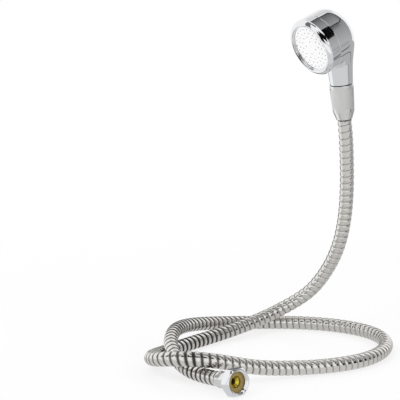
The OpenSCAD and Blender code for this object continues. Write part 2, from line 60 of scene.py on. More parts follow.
# Heights on the neck's axis: the coupling nut's mouth, and the drum's axis above it
SEAT_H = 16.4
AXIS_H = SEAT_H + 50.8

# Degrees: the neck's tip to the front and lean to the left, the head's turn on it, the face's droop
HEAD_TIP, HEAD_LEAN, HEAD_TURN, FACE_DROOP = 8.5, 6.5, 52.0, 14.0

# The hex nut lies a small gap above the floor, turned and raised by these degrees
NUT_FLATS_R, NUT_LENGTH, NUT_GAP = 12.0, 9.8, 0.1
INLET_TURN, INLET_RISE = 42.0, 6.3
INLET_LIFT = NUT_FLATS_R * cos(radians(INLET_RISE)) + NUT_LENGTH * sin(radians(INLET_RISE)) + NUT_GAP
INLET_AT = (-96.0, -174.0, FLOOR_Z + INLET_LIFT)

Point = tuple[float, float]
Triple = tuple[float, float, float]
Shape = bmesh.types.BMesh
Piece = bpy.types.Object
Material = bpy.types.Material


def turn(axis: str, degrees: float) -> Matrix:
    """Returns a rotation about a row axis."""
    return Matrix.Rotation(radians(degrees), 4, axis)


ON_NECK = turn("Y", -HEAD_LEAN) @ turn("X", HEAD_TIP)
ON_DRUM = ON_NECK @ turn("Z", -HEAD_TURN) @ Matrix.Translation((0, 0, AXIS_H)) @ turn("X", 90 + FACE_DROOP)
ON_INLET = Matrix.Translation(INLET_AT) @ turn("Z", INLET_TURN) @ turn("X", 90 - INLET_RISE)


class Axis(Enum):
    """Where the axes of the bored pieces lie, in millimetres."""

    DRUM = ON_DRUM
    INLET = ON_INLET


# ---------- shader maths


@dataclass
class Value:
    """A node socket that adds Math nodes when it is used in an expression."""

    recipe: "Recipe"
    socket: bpy.types.NodeSocket

    def beside(self, output: str | int) -> "Value":
        """Returns another output of the same node."""
        return Value(self.recipe, self.socket.node.outputs[output])

    def _math(self, operation: str, first: "Number", second: "Number") -> "Value":
        """Returns the result of one Math node on two inputs."""
        return self.recipe.node("ShaderNodeMath", {"operation": operation}, {0: first, 1: second})

    def __add__(self, other: "Number") -> "Value":
        """Returns the sum."""
        return self._math("ADD", self, other)

    def __radd__(self, other: "Number") -> "Value":
        """Returns the sum, with this value second."""
        return self._math("ADD", other, self)

    def __sub__(self, other: "Number") -> "Value":
        """Returns the difference."""
        return self._math("SUBTRACT", self, other)

    def __rsub__(self, other: "Number") -> "Value":
        """Returns the difference, with this value second."""
        return self._math("SUBTRACT", other, self)

    def __mul__(self, other: "Number") -> "Value":
        """Returns the product."""
        return self._math("MULTIPLY", self, other)

    def __rmul__(self, other: "Number") -> "Value":
        """Returns the product, with this value second."""
        return self._math("MULTIPLY", other, self)


Number = float | Value


class Recipe:
    """The node tree of a material or the world, made one node at a time."""

    def __init__(self, owner: Material | bpy.types.World) -> None:
        """Starts a tree with only its output and its main shader."""
        owner.use_nodes = True
        self.owner = owner
        self.tree = owner.node_tree
        ends = [n for n in self.tree.nodes if n.bl_idname.startswith("ShaderNodeOutput")]
        self.surface = ends[0].inputs["Surface"]
        self.shader = self.surface.links[0].from_node

    def _fill(self, sockets: bpy.types.NodeInputs, values: dict[str | int, object]) -> None:
        """Links or sets sockets, by index or name."""
        for key, item in values.items():
            if isinstance(item, Value):
                self.tree.links.new(item.socket, sockets[key])
            else:
                sockets[key].default_value = item

    def node(
        self,
        kind: str,
        settings: dict[str, object] | None = None,
        values: dict[str | int, object] | None = None,
        output: int | str = 0,
    ) -> Value:
        """Adds a node.

        Args:
            kind: The node's type name.
            settings: Properties set before its sockets are filled.
            values: Numbers, colours or values for its inputs, by index or name.
            output: The output that is returned.

        Returns:
            The chosen output.
        """
        made = self.tree.nodes.new(kind)
        for key, item in (settings or {}).items():
            setattr(made, key, item)
        self._fill(made.inputs, values or {})
        return Value(self, made.outputs[output])

    def place(self) -> Value:
        """Returns the object coordinates."""
        return self.node("ShaderNodeTexCoord", output="Object")

    def noise(self, scale: float, detail: float = 2.0, stretch: Triple = (1, 1, 1)) -> Value:
        """Returns a noise value around 0.5, with a scale in cells for each metre."""
        where = self.node("ShaderNodeMapping", values={"Vector": self.place(), "Scale": stretch})
        return self.node("ShaderNodeTexNoise", values={"Vector": where, "Scale": scale, "Detail": detail})

    def mix(self, factor: Number, first: object, second: object) -> Value:
        """Returns a mix of two colours."""
        return self.node("ShaderNodeMix", {"data_type": "RGBA"}, {0: factor, 6: first, 7: second}, 2)

    def bump(self, height: Value, strength: float, distance: float) -> Value:
        """Returns a normal bent by a height."""
        bend = {"Height": height, "Strength": strength, "Distance": distance}
        return self.node("ShaderNodeBump", values=bend)

    def spread(
        self, value: Value, low: float, high: float, ease: str = "SMOOTHSTEP", least: float = 0.0
    ) -> Value:
        """Returns a value that runs from the least to 1 while another runs from low to high."""
        limits = {"From Min": low, "From Max": high, "To Min": least, "To Max": 1.0}
        return self.node("ShaderNodeMapRange", {"interpolation_type": ease}, {"Value": value, **limits})

    def wear(self, **inputs: object) -> Material:
        """Fills the main shader's inputs, with spaces written as underscores, and returns the material."""
        self._fill(self.shader.inputs, {key.replace("_", " "): item for key, item in inputs.items()})
        return self.owner

    def cover(self, mask: Value, over: Value, under: Value | None = None) -> Material:
        """Lays a shader over the main one, or over another, where a mask is 1, and returns the material."""
        under = under or Value(self, self.shader.outputs[0])
        blend = self.node("ShaderNodeMixShader", values={0: mask, 1: under, 2: over})
        self.tree.links.new(blend.socket, self.surface)
        return self.owner


def new_recipe(name: str) -> Recipe:
    """Starts a new material's recipe."""
    return Recipe(bpy.data.materials.new(name))


WHITE = (1.0, 1.0, 1.0, 1.0)


def rgba(colour: Sequence[float], part: float = 1.0) -> tuple[float, float, float, float]:
    """Returns a part of a colour, with full alpha."""
    return (colour[0] * part, colour[1] * part, colour[2] * part, 1.0)


# ---------- finishes


@dataclass(frozen=True)
class MirrorChrome:
    """Bright chrome plating with faint haze and water marks."""

    name: str = "mirror_chrome"
    colour: Triple = (0.86, 0.87, 0.89)
    gloss: float = 0.035
    dim: float = 0.97

    def material(self) -> Material:
        """Returns the material."""
        recipe = new_recipe(self.name)
        haze = recipe.noise(160, 3)
        marks = recipe.noise(900)
        return recipe.wear(
            Base_Color=recipe.mix(haze, rgba(self.colour, self.dim), rgba(self.colour)),
            Metallic=1.0,
            Roughness=self.gloss + haze * 0.03 + marks * 0.01,
        )


@dataclass(frozen=True)
class Grained:
    """A surface with a fine grain, which bends the light if it has a strength, and faint clouds."""

    name: str
    colour: Triple
    roughness: float
    grain: float = 3000.0
    stretch: Triple = (1.0, 1.0, 1.0)
    uneven: float = 0.10
    cloud: float = 90.0
    dim: float = 0.92
    strength: float = 0.35
    depth: float = 0.00002
    metal: float = 1.0

    def material(self) -> Material:
        """Returns the material."""
        recipe = new_recipe(self.name)
        grain = recipe.noise(self.grain, stretch=self.stretch)
        if self.strength:
            recipe.wear(Normal=recipe.bump(grain, self.strength, self.depth))
        return recipe.wear(
            Base_Color=self.tint(recipe),
            Metallic=self.metal,
            Roughness=self.roughness + grain * self.uneven - self.uneven / 2,
        )

    def tint(self, recipe: Recipe) -> Value:
        """Returns the colour with its clouds."""
        return recipe.mix(recipe.noise(self.cloud), rgba(self.colour, self.dim), rgba(self.colour))


class SatinMetal(Grained):
    """Metal with a fine blasted or brushed surface."""


@dataclass(frozen=True)
class Moulded(Grained):
    """Moulded plastic or rubber."""

    grain: float = 1500.0
    uneven: float = 0.12
    cloud: float = 120.0
    dim: float = 0.86
    strength: float = 0.3
    depth: float = 0.00003
    metal: float = 0.0


@dataclass(frozen=True)
class BoredMetal(SatinMetal):
    """Metal with painted shade that darkens it into its bores, by the height along an axis in millimetres.
    """

    strength: float = 0.0
    axis: Axis = Axis.INLET
    bright_to: float = -8.5
    dark_from: float = -13.5
    bore_shade: Triple = (0.045, 0.02, 0.004)

    def tint(self, recipe: Recipe) -> Value:
        """Returns the colour, with painted shade deep in the bores."""
        at, spin = self.axis.value.to_translation() * MM, self.axis.value.to_euler()
        along = recipe.node(
            "ShaderNodeMapping",
            {"vector_type": "TEXTURE"},
            {"Vector": recipe.place(), "Location": at, "Rotation": spin},
        )
        height = recipe.node("ShaderNodeSeparateXYZ", values={0: along}, output=2)
        lit = recipe.spread(height, self.dark_from * MM, self.bright_to * MM, "LINEAR")
        return recipe.mix(lit, rgba(self.bore_shade), rgba(self.colour))


@dataclass(frozen=True)
class WoundSteel:
    """Satin stainless strip with painted shade in its grooves, mixed in by a baked shade attribute."""

    name: str = "wound_steel"
    crest: Triple = (0.80, 0.78, 0.74)
    worn: Triple = (0.76, 0.745, 0.715)
    # groove: the colour of the painted shade in the grooves, where the shade attribute is 1
    groove: Triple = (0.045, 0.042, 0.038)
    depth: float = 0.00002

    def material(self) -> Material:
        """Returns the material."""
        recipe = new_recipe(self.name)
        shade = recipe.node("ShaderNodeAttribute", {"attribute_name": "shade"}, output="Fac")
        streak = recipe.noise(700)
        strip = recipe.mix(recipe.noise(60, 1), rgba(self.worn), rgba(self.crest))
        return recipe.wear(
            Base_Color=recipe.mix(shade, strip, rgba(self.groove)),
            Metallic=1.0,
            Roughness=0.13 + streak * 0.08 + shade * 0.2,
            Normal=recipe.bump(streak, 0.15, self.depth),
        )


class Finish(Enum):
    """The finishes of this sprayer, by the record's material slot."""

    CHROME_SHELL = ("chrome_shell", MirrorChrome())
    CHROME_NUT = ("chrome_nut", MirrorChrome("nut_chrome", (0.86, 0.87, 0.90), 0.05))
    # The plate's holes get painted shade below its face, from BoredMetal
    SATIN_PLATE = ("satin_plate", BoredMetal(
        "drilled_plate", (0.97, 0.97, 0.97), 0.20, 2500.0, (1, 1, 6),
        metal=0.9, axis=Axis.DRUM, bright_to=34.36, dark_from=34.10, bore_shade=(0.06, 0.06, 0.065),
    ))
    SATIN_COLLAR = ("satin_collar", SatinMetal("blasted_collar", (0.80, 0.80, 0.785), 0.20, 4000.0))
    FERRULE = ("ferrule_metal", SatinMetal("crimped_sleeve", (0.84, 0.84, 0.84), 0.16, 2500.0))
    HOSE_STEEL = ("hose_steel", WoundSteel())
    BRASS = ("turned_brass", SatinMetal("bright_brass", (0.62, 0.50, 0.08), 0.26, 2500.0))
    # The brass bore gets painted shade, darker deeper in, from BoredMetal
    BORED_BRASS = ("turned_brass", BoredMetal("bored_brass", (0.66, 0.53, 0.07), 0.26, 2500.0))
    SCREW = ("screw_steel", SatinMetal("zinc_screw", (0.70, 0.70, 0.70), 0.25, 2500.0))
    SEAL = ("black_seal", Moulded("soft_seal", (0.03, 0.03, 0.032), 0.55))
    WHITE = ("white_plastic", Moulded("white_acetal", (0.82, 0.82, 0.79), 0.42))
    LIMITER = ("limiter_plastic", Moulded("green_limiter", (0.12, 0.28, 0.13), 0.45))
    LINER = ("liner_rubber", Moulded("pale_liner", (0.70, 0.69, 0.66), 0.50))
    FIBRE = ("tan_fibre", Moulded("fibre_washer", (0.35, 0.26, 0.08), 0.62, 900.0))

    @property
    def slot(self) -> str:
        """The record's slot name."""
        return self.value[0]

    @property
    def made(self) -> Material:
        """This finish's material, which is made once. No material of the frame has its name."""
        return bpy.data.materials.get(self.value[1].name) or self.value[1].material()

    def dress(self, piece: Piece) -> None:
        """Gives a piece this finish as its only material."""
        piece.data.materials.clear()
        piece.data.materials.append(self.made)

    def dress_between(self, piece: Piece, low: float, high: float) -> None:
        """Gives the faces between two heights on the neck's axis this finish too.

        Args:
            piece: The piece, which keeps its first finish elsewhere.
            low: The lower height, in millimetres.
            high: The upper height.
        """
        piece.data.materials.append(self.made)
        into_neck = ON_NECK.inverted() @ Matrix.Scale(1 / MM, 4)
        for face in piece.data.polygons:
            if low <= (into_neck @ face.center).z <= high:
                face.material_index = len(piece.data.materials) - 1


# ---------- mesh work


def turned(profile: Sequence[Point], steps: int = 96, closed: bool = True, climb: float = 0.0) -> Shape:
    """Turns a profile of (radius, height) points once about +Z.

    Args:
        profile: The outline, in millimetres.
        steps: How many steps the turn takes.
        closed: Whether the last point joins the first.
        climb: How far each step rises, in millimetres, which leaves the turn's ends apart.

    Returns:
        The turned surface, tidied if it doesn't climb.
    """
    shape = bmesh.new()
    verts = [shape.verts.new((radius, 0.0, height)) for radius, height in profile]
    edges = [shape.edges.new(pair) for pair in zip(verts, verts[1:])]
    if closed:
        edges.append(shape.edges.new((verts[-1], verts[0])))
    bmesh.ops.spin(
        shape, geom=verts + edges, cent=(0, 0, 0), axis=(0, 0, 1), dvec=(0, 0, climb),
        angle=tau, steps=steps, use_merge=not climb, use_duplicate=False,
    )
    if not climb:
        tidy(shape)
    return shape


def ringed(inner: float, outer: float, low: float, high: float) -> Shape:
    """Makes a plain ring between two radii and two heights, or a disc if the inner radius is 0."""
    return turned([(inner, low), (outer, low), (outer, high), (inner, high)])


def tidy(shape: Shape) -> None:
    """Merges doubles, drops faces without area and points the rest outwards."""
    bmesh.ops.remove_doubles(shape, verts=shape.verts, dist=0.0005)
    bmesh.ops.dissolve_degenerate(shape, edges=shape.edges, dist=0.0005)
    bmesh.ops.recalc_face_normals(shape, faces=shape.faces)


def soften(shape: Shape, width: float, segments: int = 2, least: float = 28.0) -> None:
    """Bevels the edges that are sharper than an angle.

    Args:
        shape: The mesh.
        width: The bevel's width in millimetres.
        segments: How many faces cross it.
        least: The least angle between faces, in degrees.
    """
    sharp = [e for e in shape.edges if e.is_manifold and e.calc_face_angle(0.0) > radians(least)]
    bmesh.ops.bevel(
        shape, geom=sharp, offset=width, offset_type="OFFSET", affect="EDGES",
        segments=segments, profile=0.5, material=-1, clamp_overlap=True,
    )


def placed(shape: Shape, place: Matrix) -> Shape:
    """Moves a mesh by a matrix in millimetres and returns it."""
    bmesh.ops.transform(shape, matrix=place, verts=shape.verts)
    return shape


def linked(name: str, data: bpy.types.ID) -> Piece:
    """Makes an object and puts it in the scene."""
    made = bpy.data.objects.new(name, data)
    bpy.context.scene.collection.objects.link(made)
    return made


def as_object(name: str, shape: Shape, place: Matrix | None = None, scale: float = MM) -> Piece:
    """Makes a scene object from a mesh in millimetres.

    Args:
        name: The object's name.
        shape: The mesh, which is freed.
        place: Where its axis lies in the row frame, in millimetres, if not at the origin.
        scale: Metres for each of the mesh's units.

    Returns:
        The object, at the origin.
    """
    if place is not None:
        placed(shape, place)
    bmesh.ops.scale(shape, vec=(scale, scale, scale), verts=shape.verts)
    mesh = bpy.data.meshes.new(name)
    shape.to_mesh(mesh)
    shape.free()
    return linked(name, mesh)


def combined(base: Shape, others: Iterable[Shape], operation: str) -> Shape:
    """Joins solids to a base, or cuts them from it.

    Args:
        base: The mesh that is changed, in millimetres.
        others: The meshes joined or cut away.
        operation: UNION, DIFFERENCE or INTERSECT.

    Returns:
        The result.
    """
    target = as_object("shaping", base, scale=1.0)
    helpers = [as_object("shaper", other, scale=1.0) for other in others]
    for helper in helpers:
        cut = target.modifiers.new("shape", "BOOLEAN")
        cut.operation, cut.solver, cut.object = operation, "EXACT", helper
    graph = bpy.context.evaluated_depsgraph_get()
    result = bmesh.new()
    result.from_mesh(bpy.data.meshes.new_from_object(target.evaluated_get(graph)))
    for used in (target, *helpers):
        bpy.data.objects.remove(used)
    return result


def spots(mesh: bpy.types.Mesh) -> np.ndarray:
    """Returns a mesh's points in millimetres, one to a row."""
    flat = np.empty(len(mesh.vertices) * 3, dtype=np.float64)
    mesh.vertices.foreach_get("co", flat)
    return flat.reshape(-1, 3) / MM


def unit(rows: np.ndarray) -> np.ndarray:
    """Returns rows scaled to a length of 1."""
    return rows / np.linalg.norm(rows, axis=1)[:, None]


@dataclass
class SubAssembly:
    """A group of pieces that ride on one body.

    Attributes:
        body: The body of the frame that carries the pieces.
    """

    body: str

    def seat(self, piece: Piece, finish: Finish, node: str, crease: float = 32.0) -> Piece:
        """Dresses a piece and lets it ride in a node's place.

        Args:
            piece: The piece, which is where it belongs.
            finish: Its finish.
            node: The node that it stands for.
            crease: The angle above which edges stay crisp.

        Returns:
            The piece.
        """
        piece.data.shade_smooth()
        piece.data.set_sharp_from_angle(angle=radians(crease))
        finish.dress(piece)
        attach(piece, self.body)
        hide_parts(node)
        log.info("%s: %d faces, stands for %s", piece.name, len(piece.data.polygons), node)
        return piece


def keep(**finishes: Finish) -> None:
    """Dresses nodes of the frame whose shape is right."""
    for node, finish in finishes.items():
        finish.dress(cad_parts[node])
        log.info("%s: kept, %s", node, finish.slot)


# ---------- the hose


@dataclass
class HoseRoute:
    """The hose's centreline: a smooth curve that a row of points pulls along.

    Attributes:
        top_z: Where it ends in the coupling nut, on the neck's axis.
        foot_z: Where it ends in the lower sleeve, on the inlet's axis.
        end_step: The spacing of the points that keep its ends straight.
    """

    top_z: float = -7.2
    foot_z: float = -13.0
    end_step: float = 14.0
    span_steps: int = 24
    path_step: int = 4
    points: tuple[Triple, ...] = (
        (5, 9, -47), (7, 17, -85), (6, 29, -124), (0, 42, -157), (-11, 53, -182),
        (-24, 61, -202), (-38, 65, -214), (-56, 63, -224), (-74, 52, -231), (-97, 35, -237),
        (-123, 12, -241), (-148, -20, -241), (-170, -54, -241), (-183, -88, -237),
        (-177, -118, -231), (-154, -138, -224), (-121, -140, -224), (-87, -126, -235),
        (-54, -110, -240), (-17, -98, -241), (20, -77, -241), (44, -40, -241), (49, 5, -241),
        (30, 44, -241), (-10, 66, -241), (-50, 71, -241), (-85, 68, -241), (-114, 49, -237),
        (-139, 21, -231), (-157, -9, -226), (-165, -41, -224), (-165, -73, -229),
        (-156, -101, -237), (-142, -122, -241),
    )

    def __post_init__(self) -> None:
        """Works out the curve, the distance along it and its sideways directions."""
        self.start, end = ON_NECK @ Vector((0, 0, self.top_z)), ON_INLET @ Vector((0, 0, self.foot_z))
        down = ON_NECK.to_3x3() @ Vector((0, 0, -1))
        out = ON_INLET.to_3x3() @ Vector((0, 0, 1))
        pulls = [self.start + down * self.end_step * i for i in range(3)]
        pulls += [Vector(p) for p in self.points]
        pulls += [end - out * self.end_step * i for i in (2, 1, 0)]
        pulls = [2 * pulls[0] - pulls[1], *pulls, 2 * pulls[-1] - pulls[-2]]
        guides = np.array([tuple(p) for p in pulls])
        t = np.arange(self.span_steps)[:, None] / self.span_steps
        weights = ((1 - t) ** 3, 3 * t**3 - 6 * t**2 + 4, -3 * t**3 + 3 * t**2 + 3 * t + 1, t**3)
        spans = [sum(w * guides[i + k] for k, w in enumerate(weights)) / 6 for i in range(len(guides) - 3)]
        self.line = np.vstack([*spans, np.array(end)[None]])
        steps = np.linalg.norm(np.diff(self.line, axis=0), axis=1)
        self.travel = np.concatenate([[0.0], np.cumsum(steps)])
        self.length = float(self.travel[-1])
        heading = np.gradient(self.line, self.travel, axis=0)
        heading[0], heading[-1] = down, out
        self.heading = unit(heading)
        side = np.cross(np.array(-down), (1.0, 0.0, 0.0))
        sides = []
        for h in self.heading:
            side = side - h * np.dot(side, h)
            side = side / np.linalg.norm(side)
            sides.append(side)
        self.side = np.array(sides)

    def bend(self, piece: Piece) -> None:
        """Lays a straight piece, whose axis is +Z in metres, along the curve."""
        straight = spots(piece.data)
        s = np.clip(straight[:, 2], 0.0, self.length)

        def along(rows: np.ndarray) -> np.ndarray:
            """Returns rows of the curve at each vertex's distance."""
            return np.stack([np.interp(s, self.travel, rows[:, k]) for k in range(3)], axis=1)

        heading = unit(along(self.heading))
        side = along(self.side)
        side = unit(side - heading * np.sum(side * heading, axis=1)[:, None])
        up = np.cross(heading, side)
        laid = along(self.line) + side * straight[:, :1] + up * straight[:, 1:2]
        piece.data.vertices.foreach_set("co", (laid * MM).ravel())
        piece.data.update()

    def path(self) -> list[Triple]:
        """Returns the points that the hose follows, in metres."""
        steps = [tuple(float(c) * MM for c in p) for p in self.line[:: self.path_step]]
        return steps + [tuple(self.line[-1] * MM)]


@dataclass
class Hose(SubAssembly):
    """The wound metal hose, its inner tube and the lower crimped sleeve.

    Attributes:
        strip: One turn of the strip: parts of the pitch, and of the groove's depth below the crest.
        rim_shade: Where along the route the hose gets a painted shadow below the coupling nut's rim.
        loops_x: From where to where along X a strand comes to lie among the others.
        lone: How close a lying strand counts as that has none beside it.
        shade_from: How deep in a groove the shade starts, on a lone strand and on a close one.
        shade_full: How deep it is full, on either.
        shade_most: How dark it is there, on either.
    """

    route: HoseRoute = field(default_factory=HoseRoute)
    crest_r: float = 7.0
    groove_depth: float = 0.75
    jacket_bore_r: float = 5.9
    liner_r: float = 5.3
    liner_bore_r: float = 4.5
    ribs: int = 184
    sides: int = 36
    liner_sides: int = 28
    rings: int = 130
    crease: float = 60.0
    strip: tuple[Point, ...] = (
        (0.00, 1.00), (0.05, 0.78), (0.10, 0.50), (0.16, 0.30), (0.25, 0.13), (0.37, 0.03),
        (0.50, 0.00), (0.63, 0.03), (0.75, 0.13), (0.84, 0.30), (0.90, 0.50), (0.95, 0.78),
    )
    rim_shade: Point = (10.9, 12.5)
    loops_x: Point = (-30.0, -120.0)
    lone: float = 0.18
    shade_from: Point = (0.40, 0.03)
    shade_full: Point = (0.95, 0.29)
    shade_most: Point = (0.45, 1.0)

    def heights(self) -> list[float]:
        """Returns the heights of the rings of a smooth wall."""
        return [self.route.length * i / self.rings for i in range(self.rings + 1)]

    def tube(self) -> Piece:
        """Makes the inner tube, straight."""
        heights = self.heights()
        profile = [(self.liner_r, z) for z in heights] + [(self.liner_bore_r, z) for z in reversed(heights)]
        return as_object("inner_tube", turned(profile, self.liner_sides))

    def jacket(self) -> Piece:
        """Makes the wound strip as a straight tube with helical ribs."""
        pitch = self.route.length / self.ribs
        profile = [
            (self.crest_r - self.groove_depth * drop, (rib + part) * pitch)
            for rib in range(-1, self.ribs)
            for part, drop in self.strip
        ]
        profile.append((self.crest_r - self.groove_depth, self.ribs * pitch))
        shape = turned(profile, self.sides, False, pitch / self.sides)
        bmesh.ops.remove_doubles(shape, verts=shape.verts, dist=0.002)
        rims = [self._cut(shape, 0.0, -1.0), self._cut(shape, self.route.length, 1.0)]
        bore = turned([(self.jacket_bore_r, z) for z in self.heights()], self.sides, False)
        spare = bpy.data.meshes.new("bore")
        bore.to_mesh(spare)
        bore.free()
        outer = set(shape.edges)
        shape.from_mesh(spare)
        bpy.data.meshes.remove(spare)
        inner = [e for e in shape.edges if e not in outer and e.is_boundary]
        for height, rim in zip((0.0, self.route.length), rims):
            mouth = [e for e in inner if abs(e.verts[0].co.z - height) < 0.01]
            bmesh.ops.bridge_loops(shape, edges=[e for e in rim if e.is_valid] + mouth)
        bmesh.ops.recalc_face_normals(shape, faces=shape.faces)
        piece = as_object("wound_hose", shape)
        self._shade_grooves(piece)
        return piece

    @staticmethod
    def _cut(shape: Shape, height: float, side: float) -> list[bmesh.types.BMEdge]:
        """Cuts a straight tube square at a height and returns the cut's edges."""
        cut = bmesh.ops.bisect_plane(
            shape,
            geom=[*shape.verts, *shape.edges, *shape.faces],
            plane_co=(0, 0, height),
            plane_no=(0, 0, side),
            clear_outer=True,
        )
        return [e for e in cut["geom_cut"] if isinstance(e, bmesh.types.BMEdge)]

    def _shade_grooves(self, piece: Piece) -> None:
        """Stores the painted shade that each groove holds: more of it where the hose lies among its own
        loops.
        """
        x, y, s = spots(piece.data).T
        depth = (self.crest_r - np.hypot(x, y)) / self.groove_depth
        route = self.route
        lying = 1 - np.abs(np.interp(s, route.travel, route.heading[:, 2]))
        first, last = self.loops_x
        among = np.clip((np.interp(s, route.travel, route.line[:, 0]) - first) / (last - first), 0.0, 1.0)
        closeness = lying**2 * (self.lone + (1 - self.lone) * among)
        runs = (self.shade_from, self.shade_full, self.shade_most)
        start, full, most = (np.interp(closeness, (0.0, 1.0), run) for run in runs)
        shade = np.clip((depth - start) / (full - start), 0.0, 1.0) * most
        # Painted shadow on the hose just below the coupling nut's rim
        shade[(s > self.rim_shade[0]) & (s < self.rim_shade[1])] = 1.0
        mark = piece.data.attributes.new("shade", "FLOAT", "POINT")
        mark.data.foreach_set("value", shade.astype(np.float32))

    def build(self) -> tuple[Piece, Piece]:
        """Makes the jacket and the inner tube, lays them along the route and returns them."""
        jacket, liner = self.jacket(), self.tube()
        for piece in (jacket, liner):
            self.route.bend(piece)
        self.seat(jacket, Finish.HOSE_STEEL, "hose_jacket", self.crease)
        self.seat(liner, Finish.LINER, "hose_liner", self.crease)
        log.info("hose: %.1f mm long", self.route.length)
        return jacket, liner

    def sleeve(self) -> Piece:
        """Makes the crimped sleeve that shows between the hose and the hex nut."""
        top, web, foot, outer = -10.2, -11.8, -26.0, 7.7
        crimp_r, bore_r, hole_r = outer - 0.22, 7.15, 4.15
        profile = [
            (outer - 0.55, top), (outer, top - 0.6), (outer, -22.4), (crimp_r, -22.9),
            (crimp_r, -23.5), (outer, -24.0), (outer, foot + 0.5), (outer - 0.3, foot),
            (bore_r, foot), (bore_r, web - 1.2), (hole_r, web - 1.2), (hole_r, web), (6.4, web), (6.4, top),
        ]
        shape = turned(profile)
        soften(shape, 0.12)
        return self.seat(as_object("lower_sleeve", shape, ON_INLET), Finish.FERRULE, "lower_ferrule")


# ---------- the spray head


